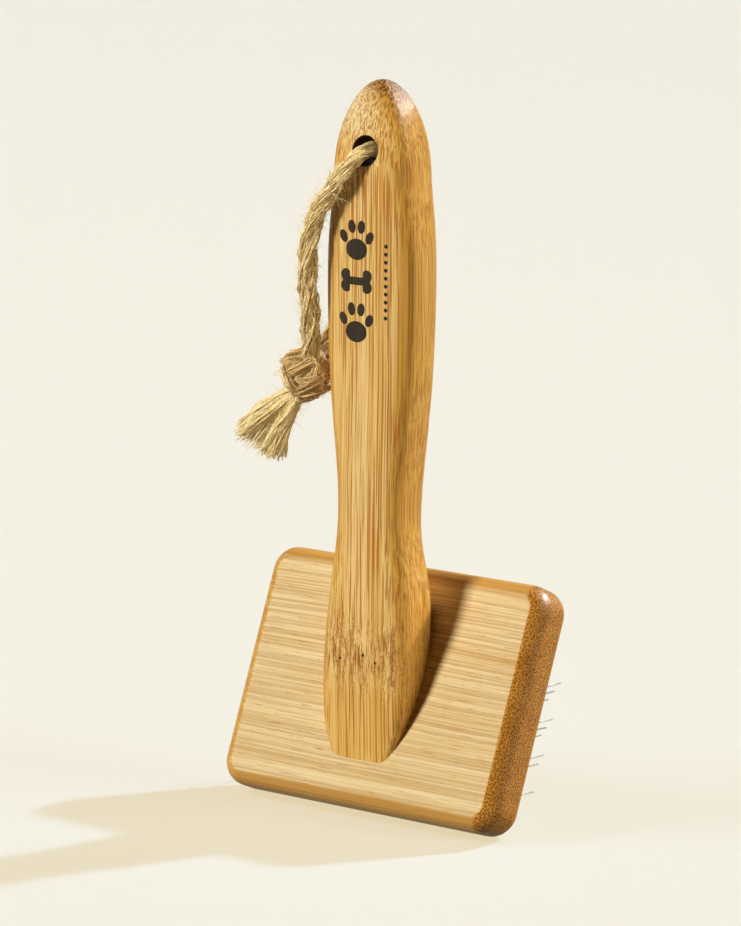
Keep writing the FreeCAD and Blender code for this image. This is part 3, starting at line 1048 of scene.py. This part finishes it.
def make_mark(name, outlines, material):
    """A thin layer of ink that follows the handle's front."""
    proud = 0.03 * MM
    work = bmesh.new()
    for outline in outlines:
        corners = [work.verts.new((x, 0, z)) for x, z in outline]
        work.faces.new(corners)
    xs = [v.co.x for v in work.verts]
    zs = [v.co.z for v in work.verts]
    pitch = 0.9 * MM
    for axis, low, high in ((0, min(xs), max(xs)), (2, min(zs), max(zs))):
        normal = Vector((0, 0, 0))
        normal[axis] = 1
        for at in np.arange(low + pitch, high, pitch):
            geometry = work.verts[:] + work.edges[:] + work.faces[:]
            bmesh.ops.bisect_plane(work, geom=geometry, plane_co=normal * float(at), plane_no=normal)
    for corner in work.verts:
        x, _, z = corner.co
        corner.co = stand((x, front_surface(x, z) - proud, z))
    bmesh.ops.recalc_face_normals(work, faces=work.faces[:])
    mesh = bpy.data.meshes.new(name)
    work.to_mesh(mesh)
    work.free()
    mark = make_object(name, mesh)
    skin = mark.modifiers.new("ink", "SOLIDIFY")
    skin.thickness = 0.04 * MM
    skin.offset = 0.0
    return finish_piece(mark, material, "brush", "mark_ink")


def make_marks(material):
    column = -0.0022
    make_mark("mark_paw_upper", paw_print(column, 0.1556, 0.0112), material)
    make_mark("mark_bone", [bone(column, 0.1450, 0.0100)], material)
    make_mark("mark_paw_lower", paw_print(column, 0.1338, 0.0112), material)
    dots = [ellipse(0.0071, 0.1360 + 0.0021 * i, 0.55 * MM, 0.55 * MM, steps=20) for i in range(10)]
    make_mark("mark_dots", dots, material)


# ---------------------------------------------------------------- cord

def route_line(route):
    """Points along a route's NURBS spline, in the row frame, evenly spaced."""
    curve = bpy.data.curves.new("route", "CURVE")
    curve.dimensions = "3D"
    curve.resolution_u = 24
    spline = curve.splines.new("NURBS")
    spline.points.add(len(route) - 1)
    for control, place in zip(spline.points, route):
        control.co = (*stand(place), 1.0)
    spline.order_u = 3
    spline.use_endpoint_u = True
    holder = make_object("route", curve)
    mesh = bpy.data.meshes.new_from_object(holder)
    line = np.array([v.co for v in mesh.vertices])
    bpy.data.objects.remove(holder)
    bpy.data.meshes.remove(mesh)
    return evenly(line, LINE_PITCH)


def lengths_along(line):
    """How far along the line each of its points is."""
    return np.concatenate([[0], np.cumsum(np.linalg.norm(np.diff(line, axis=0), axis=1))])


def directions_along(line):
    along = np.gradient(line, axis=0)
    return along / np.linalg.norm(along, axis=1)[:, None]


def evenly(line, pitch):
    lengths = lengths_along(line)
    count = max(int(lengths[-1] / pitch), 4)
    at = np.linspace(0, lengths[-1], count + 1)
    return np.stack([np.interp(at, lengths, line[:, axis]) for axis in range(3)], axis=1)


def frames_along(line):
    """A side and an up direction at each point, which don't twist about the line."""
    along = directions_along(line)
    side = np.cross(along[0], (0.3, 0.2, 1.0))
    sides, ups = [], []
    for direction in along:
        side = side - direction * (side @ direction)
        side /= np.linalg.norm(side)
        sides.append(side)
        ups.append(np.cross(direction, side))
    return np.array(sides), np.array(ups)


LINE_PITCH = 0.0006
STRANDS = 3
YARNS_PER_STRAND = 22
ROPE_PITCH = 0.0340
YARN_PITCH = 0.0450
TAIL_FIBRES = 170
TAIL_BUNDLES = 4


def rope_yarns(line, radius, chance, swell=None, start_turn=0.0, mean_tone_with_shade=0.56):
    """Yarns of a three-strand rope along a line: strands twist one way, yarns the other."""
    sides, ups = frames_along(line)
    lengths = lengths_along(line)
    size = np.full(len(line), radius) if swell is None else radius * swell
    strand_r = 0.47 * size
    yarns = []
    for strand in range(STRANDS):
        turn = start_turn + FULL_TURN * (lengths / ROPE_PITCH + strand / STRANDS)
        offset = size - strand_r
        middle_side = offset * np.cos(turn)
        middle_up = offset * np.sin(turn)
        core = line + middle_side[:, None] * sides + middle_up[:, None] * ups
        # The strand's core gets the darkest tone: painted shade, seen in the gaps between the yarns.
        yarns.append((core, strand_r * 0.80, 0.0))
        for number in range(YARNS_PER_STRAND):
            wander = chance.uniform(0.78, 1.02)
            phase = chance.uniform(-0.15, 0.15) + number / YARNS_PER_STRAND
            inner = FULL_TURN * (-lengths / YARN_PITCH + phase) + turn
            sway = 0.16 * np.sin(lengths / (2.9 * MM) + chance.uniform(0, FULL_TURN))
            sway = sway + 0.15 * np.sin(lengths / (0.75 * MM) + chance.uniform(0, FULL_TURN))
            reach = strand_r * (wander + sway) - 0.05 * MM
            side = middle_side + reach * np.cos(inner)
            up = middle_up + reach * np.sin(inner)
            centres = line + side[:, None] * sides + up[:, None] * ups
            thick = chance.uniform(0.10, 0.23) * MM
            radii = thick * (1 + 0.40 * np.sin(lengths / (1.1 * MM) + chance.uniform(0, FULL_TURN)))
            yarns.append((centres, radii, clamp(chance.gauss(mean_tone_with_shade, 0.38))))
    return yarns


def make_leg(name, route, body_material, seed, node, mean_tone_with_shade):
    line = route_line(route)
    share = np.linspace(0, 1, len(line))
    swell = 0.80 + 0.22 * np.clip((share - 0.2) / 0.4, 0, 1)
    leg = tubes(name, rope_yarns(line, CORD_D / 2, random.Random(seed), swell, 0.0, mean_tone_with_shade))
    finish_piece(leg, body_material, "hanging_loop", "jute", node)
    return leg, line


# Turns of cord round the knot: the direction that each turn's ring faces (x, y, z), how far
# it lies from the knot's middle that way, the ring's radius and the cord's radius.
KNOT_TURNS = [
    ((-0.617, -0.241, 0.749), 0.0018, 0.0046, 0.0025),
    ((-0.560, -0.300, 0.772), -0.0022, 0.0047, 0.0025),
    ((-0.400, -0.030, 0.920), 0.0044, 0.0036, 0.0024),
    ((-0.300, -0.250, 0.920), -0.0046, 0.0038, 0.0023),
    ((0.700, 0.350, 0.620), -0.0030, 0.0042, 0.0024),
    ((0.800, 0.590, -0.100), 0.0026, 0.0044, 0.0023),
    ((0.250, -0.750, 0.610), 0.0024, 0.0043, 0.0021),
    ((0.640, 0.250, 0.730), 0.0046, 0.0030, 0.0023),
]


def knot_turn(direction, offset, ring_radius):
    """A closed turn round the knot, which starts and ends inside it."""
    direction = Vector(direction).normalized()
    far_side = Vector((-0.55, 0.83, -0.1))
    side = (far_side - direction * far_side.dot(direction)).normalized()
    up = direction.cross(side)
    steps = 60
    line = []
    for step in range(steps + 1):
        share = step / steps
        angle = FULL_TURN * (share * 1.06)
        dip = 1 - 0.50 * math.exp(-((min(share, 1 - share) / 0.04) ** 2))
        place = direction * offset + ring_radius * dip * (math.cos(angle) * side + math.sin(angle) * up)
        line.append(Vector(KNOT_MIDDLE) + place)
    return evenly(np.array([stand(p) for p in line]), LINE_PITCH)


def knot_core():
    """The cord's own bulk inside the knot, so that no light passes between its turns."""
    heights = np.linspace(-1, 1, 13)
    half_height = 5.6 * MM
    widest = 4.9 * MM
    middle = np.array(stand(KNOT_MIDDLE))
    centres = middle + np.outer(heights * half_height, (0, 0, 1))
    # The bulk's dark tone is painted shade, seen between the knot's turns.
    return centres, widest * np.sqrt(1.02 - heights**2), 0.10


def make_knot(material):
    chance = random.Random(31)
    yarns = []
    for direction, offset, ring_radius, cord_radius in KNOT_TURNS:
        line = knot_turn(direction, offset, ring_radius)
        # The knot's yarns get a low tone: painted shade for the deep gaps between its turns.
        yarns += rope_yarns(
            line, cord_radius, chance, start_turn=chance.uniform(0, FULL_TURN), mean_tone_with_shade=0.08
        )
    yarns.append(knot_core())
    knot = tubes("jute_knot", yarns)
    return finish_piece(knot, material, "hanging_loop", "jute", "loop_knot")


def make_tail(name, route, material, seed, node, spread):
    """A cut end whose strands open and whose fibres fan out to uneven tips."""
    chance = random.Random(seed)
    line = route_line(route)
    sides, ups = frames_along(line)
    count = len(line)
    share = np.linspace(0, 1, count)
    yarns = []
    for number in range(TAIL_FIBRES):
        bundle = number % TAIL_BUNDLES
        bundle_turn = FULL_TURN * bundle / TAIL_BUNDLES + 0.5 + 1.4 * share
        bundle_reach = (0.9 + 0.9 * spread * share**1.3) * MM
        turn = chance.uniform(0, FULL_TURN)
        reach = math.sqrt(chance.uniform(0.02, 1.0)) * (0.95 + 0.85 * spread * share**1.5) * MM
        ripple = chance.uniform(5.0, 13.0)
        curl = chance.uniform(0.10, 0.42) * MM * (0.35 + share)
        sway_side = curl * np.sin(ripple * share + chance.uniform(0, FULL_TURN))
        sway_up = curl * np.sin(ripple * share + chance.uniform(0, FULL_TURN))
        side = bundle_reach * np.cos(bundle_turn) + reach * np.cos(turn + share) + sway_side
        up = bundle_reach * np.sin(bundle_turn) + reach * np.sin(turn + share) + sway_up
        centres = line + side[:, None] * sides + up[:, None] * ups
        keep = max(int(count * chance.uniform(0.90, 1.0)), 6)
        radius = chance.uniform(0.09, 0.22) * MM
        radii = radius * (1 - 0.40 * np.linspace(0, 1, keep) ** 4)
        yarns.append((centres[:keep], radii, clamp(chance.gauss(1.10, 0.42))))
    tail = tubes(name, yarns)
    return finish_piece(tail, material, "hanging_loop", "jute", node)


HAIR_MARGIN = 0.0010    # how far a hair may stand out past the CAD model's front
LOOP_SWING = math.radians(310)
HANDLE_CLEARANCE = 0.00025
WIDEST_GRIP = 0.0143    # half the handle's width at its widest


def clear_of_handle(centres):
    """Whether a hair stays out of a slab about the handle, at both ends of the loop's swing."""
    hole = stand(HOLE_MIDDLE)
    across = centres[:, 0] - hole.x
    above = centres[:, 2] - hole.z
    for turn in (0.0, LOOP_SWING):
        x = across * math.cos(turn) + above * math.sin(turn)
        height = HOLE_HEIGHT + above * math.cos(turn) - across * math.sin(turn)
        behind_front = centres[:, 1] + FOOTPRINT_Y - GRIP_FRONT_Y - GRIP_FRONT_SLOPE * height
        inside = (behind_front > -HANDLE_CLEARANCE) & (behind_front < GRIP_THICK + HANDLE_CLEARANCE)
        inside &= (np.abs(x) < WIDEST_GRIP) & (height < cad_box[1][2])
        if inside.any():
            return False
    return True


def stray_hair(root, direction, length, chance):
    """One loose fibre that springs away from the cord and curls."""
    steps = 7
    place = np.array(root, float)
    heading = np.array(direction, float)
    curl = np.array([chance.gauss(0, 1) for _ in range(3)])
    centres = [place.copy()]
    for _ in range(steps):
        heading = heading + 0.22 * curl
        heading /= np.linalg.norm(heading)
        place = place + heading * length / steps
        centres.append(place.copy())
    thick = chance.uniform(0.042, 0.075) * MM
    radii = thick * np.linspace(1.0, 0.35, steps + 1)
    return np.array(centres), radii, clamp(chance.gauss(0.75, 0.15), 0.2)


def make_fuzz(lines, material):
    """Hairs all over the cord: mostly short, lying along it, and a few long ones."""
    chance = random.Random(77)
    hairs = []
    for line, radius, density, longest in lines:
        sides, ups = frames_along(line)
        along = directions_along(line)
        length = float(np.linalg.norm(np.diff(line, axis=0), axis=1).sum())
        for _ in range(int(length * density)):
            at = chance.randrange(2, len(line) - 1)
            turn = chance.uniform(0, FULL_TURN)
            outward = math.cos(turn) * sides[at] + math.sin(turn) * ups[at]
            root = line[at] + outward * radius * 0.85
            heading = outward * chance.uniform(0.05, 0.8) + along[at] * chance.choice((-1, 1))
            heading /= np.linalg.norm(heading)
            reach = min(0.7 * MM + chance.expovariate(1 / (1.6 * MM)), longest)
            hair = stray_hair(root, heading, reach, chance)
            if hair[0][:, 1].min() > cad_box[0][1] - HAIR_MARGIN and clear_of_handle(hair[0]):
                hairs.append(hair)
    fuzz = tubes("jute_fuzz", hairs, 3)
    return finish_piece(fuzz, material, "hanging_loop", "jute")


def make_cord(material):
    front_leg, front_line = make_leg("jute_front_leg", FRONT_LEG, material, 21, "loop_front_leg", 0.82)
    # The back leg gets a low tone: painted shade, as it lies behind the handle.
    back_leg, back_line = make_leg("jute_back_leg", BACK_LEG, material, 22, "loop_back_leg", 0.30)
    knot = make_knot(material)
    outer = make_tail("jute_outer_tail", OUTER_TAIL, material, 23, "loop_outer_tail", 2.2)
    inner = make_tail("jute_inner_tail", INNER_TAIL, material, 24, "loop_inner_tail", 1.6)
    in_hole = 24
    lines = [
        (front_line[in_hole:], CORD_D / 2, 28000, 8 * MM),
        (back_line[in_hole:], CORD_D / 2, 9000, 5 * MM),
        (route_line(OUTER_TAIL), CORD_D / 2, 14000, 4 * MM),
        (route_line(INNER_TAIL), CORD_D / 2, 14000, 4 * MM),
    ]
    for direction, offset, ring_radius, cord_radius in KNOT_TURNS:
        lines.append((knot_turn(direction, offset, ring_radius), cord_radius, 8000, 4 * MM))
    fuzz = make_fuzz(lines, material)
    for piece in (front_leg, back_leg, knot, outer, inner, fuzz):
        JUTE_ONLY.objects.link(piece)
    exit_point = tuple(stand(HOLE_MIDDLE))


# ---------------------------------------------------------------- stage, light and camera

CAMERA_PLACE = (0.64601, -0.92618, 0.33503)
CAMERA_TURN = math.radians(35.40)
CAMERA_DOWN = math.radians(12.095)
CAMERA_LENS = 167.96
STAGE_COLOUR = (0.92, 0.865, 0.765)
FLOOR_GLOW = (0.757, 0.635, 0.405, 1.0)
FLOOR_PAPER = (0.142, 0.231, 0.370, 1.0)

FLOOR_ONLY, ALL_BUT_FLOOR, JUTE_ONLY, HANDLE_ONLY = (
    bpy.data.collections.new(name) for name in ("floor_only", "all_but_floor", "jute_only", "handle_only")
)


def make_floor():
    half = 9.0
    steps = 12
    pitch = 2 * half / steps
    low = cad_box[0][2]
    points = [(i * pitch - half, j * pitch - half, low) for j in range(steps + 1) for i in range(steps + 1)]
    row = steps + 1
    faces = [
        (j * row + i, j * row + i + 1, (j + 1) * row + i + 1, (j + 1) * row + i)
        for j in range(steps) for i in range(steps)
    ]
    floor = mesh_object("floor", points, faces)
    shader = Shader("floor_paper")
    _, away, _ = shader.split(shader.place())
    # The floor glows by itself, and its own lamp adds the rest: a shadow shows the warm glow.
    glow = shader.step(away, 100.0, 1800.0, 1.0, 0.955)
    shader.set(Base_Color=FLOOR_PAPER, Roughness=0.9, Specular_IOR_Level=0.0)
    shader.set(Emission_Color=FLOOR_GLOW, Emission_Strength=glow)
    floor.data.materials.append(shader.material)
    floor.visible_diffuse = False
    floor.visible_glossy = False
    FLOOR_ONLY.objects.link(floor)
    ALL_BUT_FLOOR.objects.link(floor)
    ALL_BUT_FLOOR.collection_objects[0].light_linking.link_state = "EXCLUDE"


def sun(name, from_azimuth, elevation, strength, colour, spread, only=None, glossy=False, diffuse=True):
    """A distant lamp, for a collection only if one is given. Azimuth 0 is +Y, and 90 is +X."""
    light = bpy.data.lights.new(name, "SUN")
    light.energy = strength
    light.color = colour
    light.angle = math.radians(spread)
    lamp = make_object(name, light)
    lamp.visible_glossy = glossy
    lamp.visible_diffuse = diffuse
    around, up = math.radians(from_azimuth), math.radians(elevation)
    towards = Vector((math.sin(around) * math.cos(up), math.cos(around) * math.cos(up), math.sin(up)))
    lamp.rotation_euler = towards.to_track_quat("Z", "Y").to_euler()
    lamp.location = towards * 2
    if only:
        lamp.light_linking.receiver_collection = only


def make_world():
    """The backdrop for the camera and a faint warm glow for the brush."""
    world = bpy.data.worlds.new("studio")
    bpy.context.scene.world = world
    world.use_nodes = True
    tree = Tree(world.node_tree)
    backdrop, ambient, floor_glow = (
        tree.node("Background", inputs={"Color": (*colour, 1.0), "Strength": strength})
        for colour, strength in (
            (STAGE_COLOUR, 1.0), ((1.0, 0.42, 0.17), 0.012), ((0.50, 0.40, 0.25), 1.0),
        )
    )
    # The lacquer mirrors a dim, warm floor: the world's lower half stands in for it.
    height = tree.split(tree.node("TexCoord", "Generated"))[2]
    mirrored = tree.math("LESS_THAN", height, 0.0) * tree.node("LightPath", "Is Glossy Ray")
    unseen = tree.node("MixShader", inputs={0: mirrored, 1: ambient, 2: floor_glow})
    to_camera = tree.node("LightPath", "Is Camera Ray")
    shown = tree.node("MixShader", inputs={0: to_camera, 1: unseen, 2: backdrop})
    tree.feed(tree.nodes["World Output"].inputs["Surface"], shown)


def make_camera():
    lens = bpy.data.cameras.new("camera")
    lens.lens = CAMERA_LENS
    camera = make_object("camera", lens)
    camera.location = CAMERA_PLACE
    camera.rotation_euler = (math.pi / 2 - CAMERA_DOWN, 0, CAMERA_TURN)
    bpy.context.scene.camera = camera


make_camera()
make_floor()
make_world()
sun("key", 210, 24, 3.4, (1.0, 0.97, 0.90), 11, ALL_BUT_FLOOR)
sun("floor_key", 232, 42, 1.3, (1.0, 0.97, 0.90), 30, FLOOR_ONLY)
sun("rim", 25, 39, 3.2, (1.0, 0.98, 0.96), 3.0, glossy=True)
sun("side_fill", 74, 16, 1.75, (1.0, 0.93, 0.76), 18)
sun("sparkle", 38, 42, 7.0, (1.0, 0.97, 0.93), 18, glossy=True, diffuse=False)
sun("handle_fill", 135, 16, 0.48, (1.0, 0.90, 0.70), 30, HANDLE_ONLY)
sun("jute_fill", 150, 18, 1.10, (1.0, 0.78, 0.46), 60, JUTE_ONLY)
bpy.context.scene.view_settings.view_transform = "Standard"

make_cord(jute())
make_handle(handle_bamboo())
make_board(head_bamboo())
make_marks(mark_ink())
make_cushion(foam())
make_cloth(woven_cloth())
make_facing(facing_rubber())
pin_steel = steel("pin_steel", 0.0)
for row_index in range(PIN_ROWS):
    make_pin_row(row_index, pin_steel)
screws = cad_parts["handle_screws"]
screws.data.materials.clear()
screws.data.materials.append(steel("screw_steel", 0.06))
